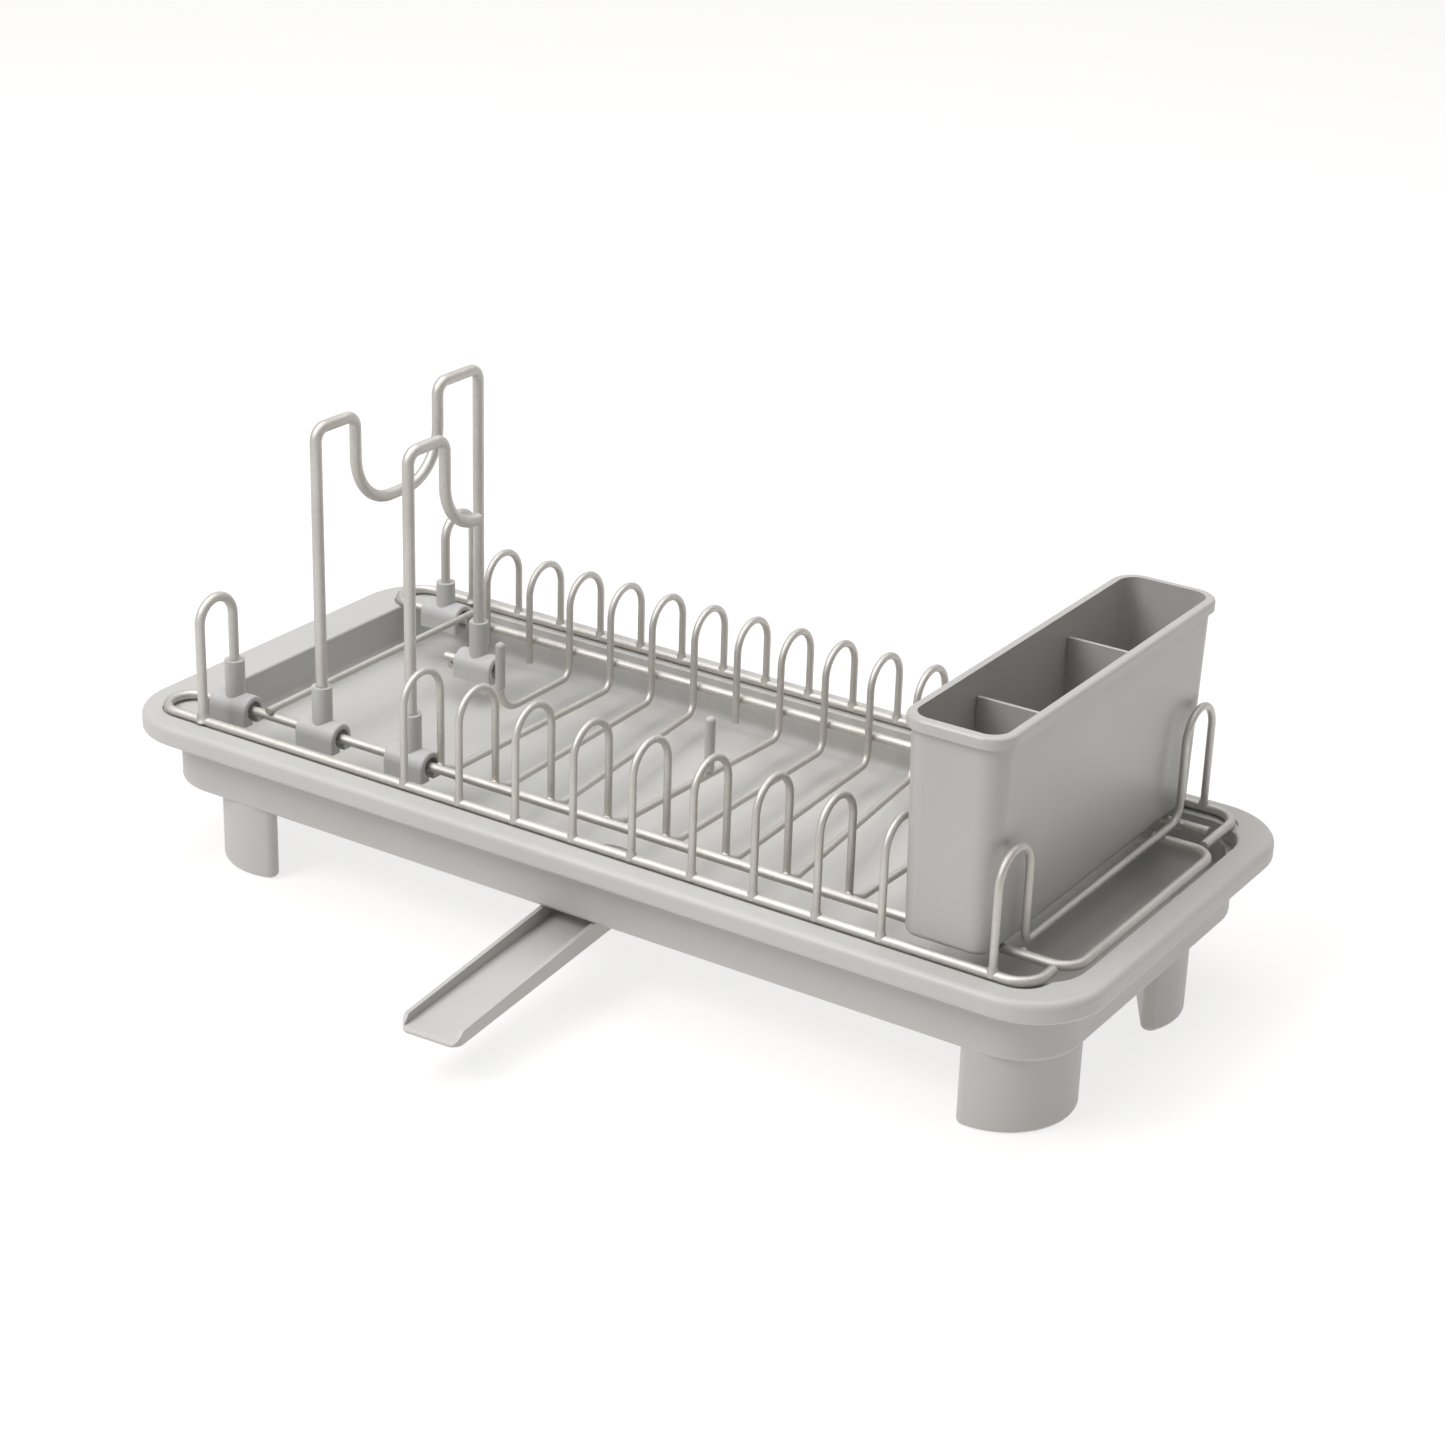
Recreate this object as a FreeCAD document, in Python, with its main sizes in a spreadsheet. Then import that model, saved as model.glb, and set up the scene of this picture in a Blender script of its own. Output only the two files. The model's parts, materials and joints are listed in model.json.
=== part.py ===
import FreeCAD, Part
import math
import os

import Sketcher
from FreeCAD import Placement, Rotation, Vector

# Dish drying rack: drip tray on four feet with a swivel spout, a lift-out wire rack with plate
# hairpins, snap-on clips that carry a cup stand and a cup hook, and a lift-out utensil caddy.
# Millimetres.  +Z is up, the feet stand on Z = 0, X runs along the tray, -Y is the spout side.
# The origin is under the middle of the whole outline, so the tray centre sits at Y = tray_y.

os.makedirs("parts", exist_ok=True)
doc = FreeCAD.newDocument("dish_rack")
sheet = doc.addObject("Spreadsheet::Sheet", "dims")

DIMS = {
    # where the tray centre sits in the row frame
    "tray_y": 44,
    # tray rim, skirt, basin and its wider mouth, wire seats: half sizes, corner radii, heights
    "rim_half_x": 250, "rim_half_y": 111, "rim_corner": 34, "rim_top": 72, "rim_low": 62,
    "rim_edge": 3.4,
    "skirt_half_x": 236, "skirt_half_y": 96.5, "skirt_corner": 28, "skirt_low": 35.5,
    "skirt_edge": 2.5, "skirt_wall": 4,
    "basin_half_x": 228.75, "basin_mid_x": 3.25, "basin_half_y": 91.5, "basin_corner": 22,
    "basin_floor": 50, "basin_edge": 5, "floor_low": 46.5,
    "mouth_half_x": 231.05, "mouth_mid_x": 5.55, "mouth_low": 64, "lip_round": 1.2,
    "seat_half_x": 233.15, "seat_mid_x": -2.75, "seat_half_y": 13.9, "seat_mid_y": 86,
    "seat_z": 71,
    "dish_radius": 17, "dish_depth": 2, "drain_radius": 11, "collar_radius": 14,
    "collar_low": 39, "post_radius": 4.2, "rib_width": 2.4,
    # feet
    "foot_radius": 32, "foot_chord": 59.8, "foot_corner": 4, "foot_edge": 2.5, "foot_tuck": 3.5,
    "boss_radius": 9,
    "foot_front_left_x": -189.5, "foot_front_left_y": -72.5,
    "foot_front_right_x": 210, "foot_front_right_y": -70.8,
    "foot_back_left_x": -200, "foot_back_left_y": 43,
    "foot_back_right_x": 210.7, "foot_back_right_y": 41.7,
    # spout
    "pivot_x": -0.8, "pivot_y": -68, "spout_wide": 29.4, "spout_wall": 2, "spout_reach": 129.6,
    "spout_turn": 2.7, "spout_fall": 2.34, "spout_drop": 3.7, "spout_tip_corner": 5,
    "spout_side_top": 36.2, "cup_radius": 17, "cup_low": 27.1, "cup_top": 41.5,
    "pivot_radius": 3, "pivot_gap": 0.05,
    "screw_head_radius": 6.5, "screw_head_high": 2.2,
    # wires
    "rail_wire": 4.4, "plate_wire": 3.4, "hoop_wire": 4.6, "stand_wire": 5.4,
    "rail_z": 73.5, "rail_outer": 97.2, "rail_inner": 74.8, "rail_left": 233.2,
    "frame_right": 227, "loop_right": 234, "loop_back": 56, "bite": 0.15,
    "front_top": 123.5, "back_top": 110, "low_run": 61, "knee_z": 68, "hairpin_end": 62.3,
    "front_pitch": 30.62, "back_pitch": 24.36, "front_first": -86.8, "back_first": -167.3,
    "left_cross_x": -182.8, "end_cross_x": 209.6,
    # corner hoops and clips
    "hoop_front_x": -205, "hoop_back_x": -198, "hoop_front_top": 131, "hoop_back_top": 124,
    "clip_long": 22.4, "clip_deep": 14, "clip_skirt": 6.4, "clip_slot": 3.2,
    "bell_radius": 4.6, "bell_deep": 3.2,
    "sleeve_radius": 4.75, "sleeve_top": 23.2, "sleeve_short": 17.5, "post_end": 10,
    "clip_rod_y": 42.5, "clip_rod_z": 68,
    # cup stand and cup hook
    "stand_x": -152.4, "hook_x": -100.6, "stand_top": 219.3, "saddle_low": 175,
    "saddle_front": -47.6, "saddle_back": 11.7, "saddle_round": 24, "hook_end": -26,
    "fit_gap": 0.06,
    # pegs
    "peg_cap": 4.8, "left_peg_y": 15, "left_peg_top": 97.3, "left_cap_low": 74, "left_peg_bend": 13,
    "mid_peg_x": 4.3, "mid_peg_y": 9.9, "mid_peg_top": 93.3, "mid_cap_low": 67, "mid_peg_low": 65.98,
    # utensil caddy
    "caddy_x": 183.6, "caddy_off_y": 2, "caddy_low": 76, "caddy_high": 97,
    "caddy_half_x": 20, "caddy_half_y": 95, "caddy_corner": 8, "caddy_taper": 1.35,
    "caddy_wall": 2, "caddy_floor": 2.5, "lip_high": 5, "lip_out": 2.1,
    "divider_front": -38, "divider_back": 42, "divider_wide": 1.8, "divider_top": 162,
}
for whole in ("rail_wire", "plate_wire", "hoop_wire", "stand_wire", "peg_cap", "clip_long"):
    DIMS[whole + "_half"] = DIMS[whole] / 2
# Each foot is a D-shaped block whose round side looks outwards along this heading, in degrees.
FEET = {"foot_front_left": -128.1, "foot_front_right": -35.4,
        "foot_back_left": 150, "foot_back_right": 30.2}
for foot_node, heading in FEET.items():
    out = DIMS["boss_radius"]
    DIMS[foot_node + "_boss_x"] = round(DIMS[foot_node + "_x"] + out * math.cos(math.radians(heading)), 2)
    DIMS[foot_node + "_boss_y"] = round(DIMS[foot_node + "_y"] + out * math.sin(math.radians(heading)), 2)
DIMS["caddy_spread"] = round(DIMS["caddy_high"] * math.tan(math.radians(DIMS["caddy_taper"])), 3)
for row, (alias, value) in enumerate(DIMS.items(), start=1):
    sheet.set("A%d" % row, alias)
    sheet.set("B%d" % row, str(value))
    sheet.setAlias("B%d" % row, alias)
doc.recompute()

D = type("Dims", (), DIMS)
FINAL = []


def bind(obj, **expressions):
    """Drive properties of an object from the spreadsheet; 'a__b' means the property a.b."""
    for name, text in expressions.items():
        path = name.replace("__", ".")
        obj.setExpression(path, text)


def keep(obj, node):
    """Name an object as one finished piece."""
    obj.Label = node
    FINAL.append(obj)
    return obj


# ---------------------------------------------------------------- sketches for bodies
def new_body(name):
    return doc.addObject("PartDesign::Body", name)


def plane_of(body, role):
    return [f for f in body.Origin.OriginFeatures if f.Role == role][0]


def new_sketch(body, name, height="0", role="XY_Plane", at=("0", "0")):
    """Sketch on one of the body's own planes, lifted and shifted by three expressions."""
    sketch = body.newObject("Sketcher::SketchObject", name)
    sketch.AttachmentSupport = [(plane_of(body, role), "")]
    sketch.MapMode = "FlatFace"
    bind(sketch, AttachmentOffset__Base__z=height, AttachmentOffset__Base__x=at[0],
         AttachmentOffset__Base__y=at[1])
    return sketch


def draw_rounded(sketch, half_x, half_y, corner):
    """Rounded rectangle centred on the sketch origin, sized by three expressions."""
    hx, hy, r = amount(half_x), amount(half_y), amount(corner)
    corners = [(hx - r, -hy + r, -90), (hx - r, hy - r, 0), (-hx + r, hy - r, 90), (-hx + r, -hy + r, 180)]
    lines = [((-hx + r, -hy), (hx - r, -hy)), ((hx, -hy + r), (hx, hy - r)),
             ((hx - r, hy), (-hx + r, hy)), ((-hx, hy - r), (-hx, -hy + r))]
    for (a, b), (cx, cy, start) in zip(lines, corners):
        sketch.addGeometry(Part.LineSegment(Vector(*a, 0), Vector(*b, 0)))
        circle = Part.Circle(Vector(cx, cy, 0), Vector(0, 0, 1), r)
        begin = math.radians(start)
        sketch.addGeometry(Part.ArcOfCircle(circle, begin, begin + math.pi / 2))
    for i in range(8):
        sketch.addConstraint(Sketcher.Constraint("Tangent", i, 2, (i + 1) % 8, 1))
    sketch.addConstraint(Sketcher.Constraint("Horizontal", 4))
    sketch.addConstraint(Sketcher.Constraint("Vertical", 6))
    for arc in (3, 5, 7):
        sketch.addConstraint(Sketcher.Constraint("Equal", 1, arc))
    sketch.addConstraint(Sketcher.Constraint("Symmetric", 0, 1, 0, 2, -2))
    sketch.addConstraint(Sketcher.Constraint("Symmetric", 2, 1, 2, 2, -1))
    across = sketch.addConstraint(Sketcher.Constraint("DistanceX", 6, 1, 2, 1, 2 * hx))
    along = sketch.addConstraint(Sketcher.Constraint("DistanceY", 0, 1, 4, 1, 2 * hy))
    radius = sketch.addConstraint(Sketcher.Constraint("Radius", 1, r))
    sketch.setExpression("Constraints[%d]" % across, "2 * (%s)" % half_x)
    sketch.setExpression("Constraints[%d]" % along, "2 * (%s)" % half_y)
    sketch.setExpression("Constraints[%d]" % radius, corner)


def amount(text):
    """Value of a plain sum of spreadsheet names, such as 'dims.a - dims.b'."""
    total = 0.0
    sign = 1
    for word in text.replace("dims.", "").split():
        if word in ("+", "-"):
            sign = 1 if word == "+" else -1
        elif word in DIMS:
            total += sign * DIMS[word]
        else:
            total += sign * float(word)
    return total


def draw_circle(sketch, radius):
    """Circle centred on the sketch origin."""
    index = sketch.addGeometry(Part.Circle(Vector(0, 0, 0), Vector(0, 0, 1), amount(radius)))
    held = sketch.addConstraint(Sketcher.Constraint("Radius", index, amount(radius)))
    sketch.setExpression("Constraints[%d]" % held, radius)
    sketch.addConstraint(Sketcher.Constraint("Coincident", index, 3, -1, 1))


def draw_d_shape(sketch, radius, chord):
    """Arc bulging towards +X, closed by a chord on the Y axis."""
    r, half = amount(radius), amount(chord) / 2
    centre = Vector(-math.sqrt(r * r - half * half), 0, 0)
    swing = math.asin(half / r)
    sketch.addGeometry(Part.ArcOfCircle(Part.Circle(centre, Vector(0, 0, 1), r), -swing, swing))
    sketch.addGeometry(Part.LineSegment(Vector(0, half, 0), Vector(0, -half, 0)))
    sketch.addConstraint(Sketcher.Constraint("Coincident", 0, 2, 1, 1))
    sketch.addConstraint(Sketcher.Constraint("Coincident", 1, 2, 0, 1))
    sketch.addConstraint(Sketcher.Constraint("Symmetric", 1, 1, 1, 2, -1, 1))
    sketch.addConstraint(Sketcher.Constraint("Vertical", 1))
    wide = sketch.addConstraint(Sketcher.Constraint("DistanceY", 1, 2, 1, 1, 2 * half))
    held = sketch.addConstraint(Sketcher.Constraint("Radius", 0, r))
    sketch.setExpression("Constraints[%d]" % wide, chord)
    sketch.setExpression("Constraints[%d]" % held, radius)


def pad(body, sketch, name, length, reverse=False, taper=None):
    feature = body.newObject("PartDesign::Pad", name)
    feature.Profile = sketch
    bind(feature, Length=length)
    feature.Reversed = reverse
    if taper is not None:
        bind(feature, TaperAngle=taper)
    return feature


def pocket(body, sketch, name, length, reverse=False, taper=None):
    feature = body.newObject("PartDesign::Pocket", name)
    feature.Profile = sketch
    bind(feature, Length=length)
    feature.Reversed = reverse
    if taper is not None:
        bind(feature, TaperAngle=taper)
    return feature


def edges_at(shape, z, low=0.0, high=1e9, tol=0.02):
    """Names of the edges lying flat at height z whose distance from the axis is in range."""
    names = []
    for number, edge in enumerate(shape.Edges, start=1):
        box = edge.BoundBox
        reach = max(abs(box.XMin), abs(box.XMax), abs(box.YMin), abs(box.YMax))
        if abs(box.ZMin - z) < tol and abs(box.ZMax - z) < tol and low <= reach <= high:
            names.append("Edge%d" % number)
    return names


def round_edges(body, base, names, name, radius):
    feature = body.newObject("PartDesign::Fillet", name)
    feature.Base = (base, names)
    bind(feature, Radius=radius)
    doc.recompute()
    return feature


def slab(body, name, half_x, half_y, corner, height, length, cut=False, at=("0", "0"), **options):
    """Rounded-rectangle pad or pocket starting at a height; a pocket goes up when reversed."""
    sketch = new_sketch(body, name + "_outline", height, at=at)
    draw_rounded(sketch, half_x, half_y, corner)
    make = pocket if cut else pad
    return make(body, sketch, name, length, **options)


def disc(body, name, radius, height, length, cut=False, at=("0", "0"), **options):
    sketch = new_sketch(body, name + "_outline", height, at=at)
    draw_circle(sketch, radius)
    make = pocket if cut else pad
    return make(body, sketch, name, length, **options)


def draw_box(sketch, across, along):
    """Centred rectangle sized by two expressions."""
    hx, hy = amount(across) / 2, amount(along) / 2
    corners = [(-hx, -hy), (hx, -hy), (hx, hy), (-hx, hy)]
    for i in range(4):
        sketch.addGeometry(Part.LineSegment(Vector(*corners[i], 0), Vector(*corners[(i + 1) % 4], 0)))
    for i in range(4):
        sketch.addConstraint(Sketcher.Constraint("Coincident", i, 2, (i + 1) % 4, 1))
    for i in (0, 2):
        sketch.addConstraint(Sketcher.Constraint("Horizontal", i))
        sketch.addConstraint(Sketcher.Constraint("Vertical", i + 1))
    sketch.addConstraint(Sketcher.Constraint("Symmetric", 0, 1, 1, 2, -1, 1))
    wide = sketch.addConstraint(Sketcher.Constraint("DistanceX", 0, 1, 0, 2, 2 * hx))
    deep = sketch.addConstraint(Sketcher.Constraint("DistanceY", 1, 1, 1, 2, 2 * hy))
    sketch.setExpression("Constraints[%d]" % wide, across)
    sketch.setExpression("Constraints[%d]" % deep, along)


def box_pad(body, name, across, along, height, length, cut=False, at=("0", "0"), **options):
    sketch = new_sketch(body, name + "_outline", height, at=at)
    draw_box(sketch, across, along)
    make = pocket if cut else pad
    return make(body, sketch, name, length, **options)


# ---------------------------------------------------------------- primitives and booleans
def primitive(kind, name, **expressions):
    obj = doc.addObject("Part::" + kind, name)
    bind(obj, **expressions)
    return obj


def combine(kind, name, base, tool):
    obj = doc.addObject("Part::" + kind, name)
    obj.Base = base
    obj.Tool = tool
    return obj


def fuse_all(name, shapes):
    obj = doc.addObject("Part::MultiFuse", name)
    obj.Shapes = shapes
    return obj


# ---------------------------------------------------------------- tray
tray = new_body("tray_body")
bind(tray, Placement__Base__y="dims.tray_y")
slab(tray, "skirt", "dims.skirt_half_x", "dims.skirt_half_y", "dims.skirt_corner",
     "dims.skirt_low", "dims.rim_low - dims.skirt_low")
skirt = tray.Tip
doc.recompute()
round_edges(tray, skirt, edges_at(skirt.Shape, D.skirt_low), "skirt_round", "dims.skirt_edge")
slab(tray, "rim", "dims.rim_half_x", "dims.rim_half_y", "dims.rim_corner",
     "dims.rim_low", "dims.rim_top - dims.rim_low")
doc.recompute()
rim = tray.Tip
rim_round = round_edges(tray, rim, edges_at(rim.Shape, D.rim_top), "rim_round", "dims.rim_edge")
round_edges(tray, rim_round, edges_at(rim_round.Shape, D.rim_low, low=D.rim_half_y - 1),
            "rim_under", "0.6 * dims.rim_edge")
slab(tray, "mouth", "dims.mouth_half_x", "dims.basin_half_y", "dims.basin_corner", "dims.mouth_low",
     "dims.rim_top - dims.mouth_low + 1", cut=True, reverse=True, at=("dims.mouth_mid_x", "0"))
slab(tray, "basin", "dims.basin_half_x", "dims.basin_half_y", "dims.basin_corner", "dims.basin_floor",
     "dims.mouth_low - dims.basin_floor", cut=True, reverse=True, at=("dims.basin_mid_x", "0"))
doc.recompute()
basin = tray.Tip
basin_round = round_edges(tray, basin, edges_at(basin.Shape, D.basin_floor), "basin_round",
                          "dims.basin_edge")
MOUTH_REACH = D.mouth_mid_x + D.mouth_half_x
round_edges(tray, basin_round, edges_at(basin_round.Shape, D.rim_top, high=MOUTH_REACH + 0.1),
            "lip_round", "dims.lip_round")
for side, sign in (("front", "-"), ("back", "")):
    slab(tray, side + "_seat", "dims.seat_half_x", "dims.seat_half_y", "dims.seat_half_y - 0.1",
         "dims.seat_z", "dims.rim_top - dims.seat_z + 1", cut=True, reverse=True,
         at=("dims.seat_mid_x", sign + "dims.seat_mid_y"))
slab(tray, "underside", "dims.skirt_half_x - dims.skirt_wall", "dims.skirt_half_y - dims.skirt_wall",
     "dims.skirt_corner - dims.skirt_wall", "dims.skirt_low", "dims.floor_low - dims.skirt_low",
     cut=True, reverse=True)
for node in FEET:
    disc(tray, node + "_boss", "dims.boss_radius", "dims.skirt_low",
         "dims.floor_low - dims.skirt_low + 1", at=("dims.%s_boss_x" % node, "dims.%s_boss_y" % node))

# Under the drain: a collar, and a post on cross ribs that takes the spout's pivot screw.
DRAIN = ("dims.pivot_x", "dims.pivot_y")
disc(tray, "collar", "dims.collar_radius", "dims.collar_low", "dims.floor_low - dims.collar_low + 1",
     at=DRAIN)
disc(tray, "drain", "dims.drain_radius", "dims.collar_low", "dims.basin_floor - dims.collar_low + 1",
     cut=True, reverse=True, at=DRAIN)
disc(tray, "dish", "dims.dish_radius", "dims.basin_floor - dims.dish_depth", "dims.dish_depth + 1",
     cut=True, reverse=True, at=DRAIN)
disc(tray, "post", "dims.post_radius", "dims.collar_low", "dims.floor_low - dims.collar_low", at=DRAIN)
RIB_LONG = "dims.drain_radius + dims.drain_radius + 2"
RIB_HIGH = "dims.floor_low - dims.collar_low - 3"
box_pad(tray, "rib_across", RIB_LONG, "dims.rib_width", "dims.collar_low + 2", RIB_HIGH, at=DRAIN)
box_pad(tray, "rib_along", "dims.rib_width", RIB_LONG, "dims.collar_low + 2", RIB_HIGH, at=DRAIN)
disc(tray, "screw_hole", "dims.pivot_radius - 0.5", "dims.collar_low", "6", cut=True, reverse=True,
     at=DRAIN)
doc.recompute()
keep(tray, "tray_shell")

# ---------------------------------------------------------------- feet
# The tops of the feet close up to the rounded lower edge of the skirt, so the tray is cut away.
for node, heading in FEET.items():
    foot = new_body(node + "_body")
    bind(foot, Placement__Base__x="dims.%s_x" % node,
         Placement__Base__y="dims.tray_y + dims.%s_y" % node)
    foot.Placement.Rotation = Rotation(Vector(0, 0, 1), heading)
    plan = new_sketch(foot, node + "_outline")
    draw_d_shape(plan, "dims.foot_radius", "dims.foot_chord")
    block = pad(foot, plan, node + "_block", "dims.skirt_low + dims.foot_tuck")
    doc.recompute()
    uprights = ["Edge%d" % n for n, e in enumerate(block.Shape.Edges, start=1)
                if len(e.Vertexes) == 2 and e.BoundBox.ZLength > D.skirt_low]
    sides = round_edges(foot, block, uprights, node + "_corners", "dims.foot_corner")
    round_edges(foot, sides, edges_at(sides.Shape, 0), node + "_edge", "dims.foot_edge")
    keep(combine("Cut", node + "_cut", foot, tray), node)


# ---------------------------------------------------------------- spout and its pivot screw
SWING = Rotation(Vector(0, 0, 1), D.spout_turn)
PIVOT = Vector(D.pivot_x, D.tray_y + D.pivot_y, 0)


def sloped(name, wide, reach, high, low, fall):
    """Box on the spout's line whose underside starts at height low and falls towards the tip."""
    box = primitive("Box", name, Width=reach, Length=wide, Height=high)
    turn = SWING.multiply(Rotation(Vector(1, 0, 0), fall))
    start = Vector(-amount(wide) / 2, -amount(reach), low)
    box.Placement = Placement(PIVOT + turn.multVec(start), turn)
    return box


slab_box = sloped("spout_slab", "dims.spout_wide", "dims.spout_reach", "14", D.cup_low, D.spout_fall)
doc.recompute()
tip_edges = [n for n, e in enumerate(slab_box.Shape.Edges, start=1)
             if abs(e.Length - 14) < 1e-6 and e.BoundBox.YMax < PIVOT.y - 0.9 * D.spout_reach]
outer = doc.addObject("Part::Fillet", "spout_outer")
outer.Base = slab_box
outer.Edges = [(n, D.spout_tip_corner, D.spout_tip_corner) for n in tip_edges]
inner = sloped("spout_inner", "dims.spout_wide - dims.spout_wall - dims.spout_wall",
               "dims.spout_reach + 5", "14", D.cup_low + D.spout_wall, D.spout_fall)
above = sloped("spout_above", "dims.spout_wide + 8", "dims.spout_reach + 5", "14",
               D.spout_side_top, D.spout_drop)
tip_slant = primitive("Box", "spout_tip_slant", Length="dims.spout_wide + 8", Width="30", Height="20")
lean = SWING.multiply(Rotation(Vector(1, 0, 0), 50))
tip_low = D.cup_low + D.spout_wall - D.spout_reach * math.tan(math.radians(D.spout_fall)) - 0.4
tip_slant.Placement = Placement(
    PIVOT + SWING.multVec(Vector(-D.spout_wide / 2 - 4, -D.spout_reach, tip_low))
    - lean.multVec(Vector(0, 1, 0)), lean)
trough = combine("Cut", "spout_trough", outer,
                 fuse_all("spout_trough_cutter", [above, tip_slant]))


def turned(name, radius, low, high):
    """Upright cylinder on the spout's pivot axis, from one height to another."""
    return primitive("Cylinder", name, Radius=radius, Height="%s - (%s)" % (high, low),
                     Placement__Base__x="dims.pivot_x",
                     Placement__Base__y="dims.tray_y + dims.pivot_y", Placement__Base__z=low)


cup = turned("spout_cup", "dims.cup_radius", "dims.cup_low", "dims.cup_top")
hollow = turned("spout_hollow", "dims.cup_radius - dims.spout_wall",
                "dims.cup_low + dims.spout_wall", "80")
hole = turned("spout_hole", "dims.pivot_radius + dims.pivot_gap", "0", "60")
keep(combine("Cut", "spout_cut", fuse_all("spout_solid", [trough, cup]),
             fuse_all("spout_cutter", [inner, hollow, hole])), "drain_spout")

HEAD_TOP = "dims.cup_low - 0.4"
HEAD_LOW = "dims.cup_low - 0.4 - dims.screw_head_high"
head = turned("screw_head", "dims.screw_head_radius", HEAD_LOW, HEAD_TOP)
shoulder = turned("screw_shoulder", "dims.pivot_radius", HEAD_TOP, "dims.collar_low")
thread = turned("screw_thread", "dims.pivot_radius - 0.5", "dims.collar_low", "dims.collar_low + 5")
slot = primitive("Box", "screw_slot", Length="9", Width="1.4", Height="1.2",
                 Placement__Base__x="dims.pivot_x - 4.5",
                 Placement__Base__y="dims.tray_y + dims.pivot_y - 0.7", Placement__Base__z=HEAD_LOW)
keep(combine("Cut", "screw", fuse_all("screw_solid", [head, shoulder, thread]), slot),
     "spout_pivot_screw")


# ---------------------------------------------------------------- bent wires
def bend_path(points, radii):
    """Wire through the points, with each inner corner rounded to its radius."""
    corners = [Vector(*p) for p in points]
    edges = []
    start = corners[0]
    for before, corner, after, radius in zip(corners, corners[1:], corners[2:], radii):
        back = (before - corner).normalize()
        ahead = (after - corner).normalize()
        half = back.getAngle(ahead) / 2
        if math.pi / 2 - half < 1e-4:
            continue
        run = radius / math.tan(half)
        enter = corner + back * run
        leave = corner + ahead * run
        inward = (back + ahead).normalize()
        middle = corner + inward * (radius / math.sin(half) - radius)
        if (enter - start).Length > 1e-3:
            edges.append(Part.LineSegment(start, enter).toShape())
        edges.append(Part.Arc(enter, middle, leave).toShape())
        start = leave
    edges.append(Part.LineSegment(start, corners[-1]).toShape())
    return Part.Wire(edges)


def wire(node, gauge, points, radii):
    """Round wire of one gauge swept along a bent path; y is measured from the tray centre."""
    shifted = [(x, y + D.tray_y, z) for x, y, z in points]
    spine = doc.addObject("Part::Feature", node + "_path")
    spine.Shape = bend_path(shifted, radii)
    section = doc.addObject("Part::Circle", node + "_section")
    bind(section, Radius="dims.%s / 2" % gauge)
    first = spine.Shape.Edges[0]
    start = first.valueAt(first.FirstParameter)
    along = first.tangentAt(first.FirstParameter)
    section.Placement = Placement(start, Rotation(Vector(0, 0, 1), along))
    sweep = doc.addObject("Part::Sweep", node + "_sweep")
    sweep.Sections = [section]
    sweep.Spine = (spine, [])
    sweep.Solid = True
    sweep.Frenet = False
    return keep(sweep, node)


RAIL = D.rail_wire / 2
PLATE = D.plate_wire / 2
U_TURN = (D.rail_outer - D.rail_inner) / 2
LEG_IN = D.rail_inner - RAIL - PLATE + D.bite
LEG_END = D.rail_z + RAIL - D.bite
ABOVE = D.rail_z + RAIL + PLATE - D.bite
HAIRPIN = (D.rail_outer - LEG_IN) / 2 - 0.05

wire("front_frame_wire", "rail_wire",
     [(D.frame_right, -D.rail_inner - D.rail_wire + D.bite, D.rail_z),
      (D.frame_right, -D.rail_outer, D.rail_z), (-D.rail_left, -D.rail_outer, D.rail_z),
      (-D.rail_left, -D.rail_inner, D.rail_z), (D.loop_right, -D.rail_inner, D.rail_z),
      (D.loop_right, D.loop_back, D.rail_z), (205, D.loop_back, D.rail_z)],
     [12, U_TURN - 0.05, U_TURN - 0.05, 10, 10])
wire("back_frame_wire", "rail_wire",
     [(D.frame_right, D.loop_back + D.rail_wire - D.bite, D.rail_z),
      (D.frame_right, D.rail_outer, D.rail_z), (-D.rail_left, D.rail_outer, D.rail_z),
      (-D.rail_left, D.rail_inner, D.rail_z),
      (D.frame_right - D.rail_wire + D.bite, D.rail_inner, D.rail_z)],
     [12, U_TURN - 0.05, U_TURN - 0.05])
wire("left_cross_wire", "plate_wire",
     [(D.left_cross_x, -D.rail_inner - 3, ABOVE), (D.left_cross_x, D.rail_inner + 3, ABOVE)], [])


def front_leg(x, top):
    """Front hairpin from its inner leg, over the top, down to the outer rail."""
    return [(x, -LEG_IN, top), (x, -D.rail_outer, top), (x, -D.rail_outer, LEG_END)]


def back_leg(x, top):
    """Back hairpin from the outer rail, over the top, down to its inner leg."""
    return [(x, D.rail_outer, LEG_END), (x, D.rail_outer, top), (x, LEG_IN, top)]


END_FRONT = D.front_top + 0.3
END_BACK = D.back_top + 16
wire("end_hoop_wire", "plate_wire",
     back_leg(D.end_cross_x, END_BACK) + [(D.end_cross_x, LEG_IN, ABOVE - 0.2)]
     + [(D.end_cross_x, -LEG_IN, ABOVE - 0.2)] + front_leg(D.end_cross_x, END_FRONT),
     [HAIRPIN, HAIRPIN, 8, 5, HAIRPIN, HAIRPIN])

# Back hairpins stand closer together than front ones: five back pitches span four front ones.
PAIRS = [(4, 1), (5, 2), (6, 3), (8, 4), (9, 5), (10, 6), (11, 7), (13, 8), (14, 9)]


def back_x(number):
    return D.back_first + (number - 1) * D.back_pitch


def front_x(number):
    return D.front_first + (number - 1) * D.front_pitch


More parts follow.
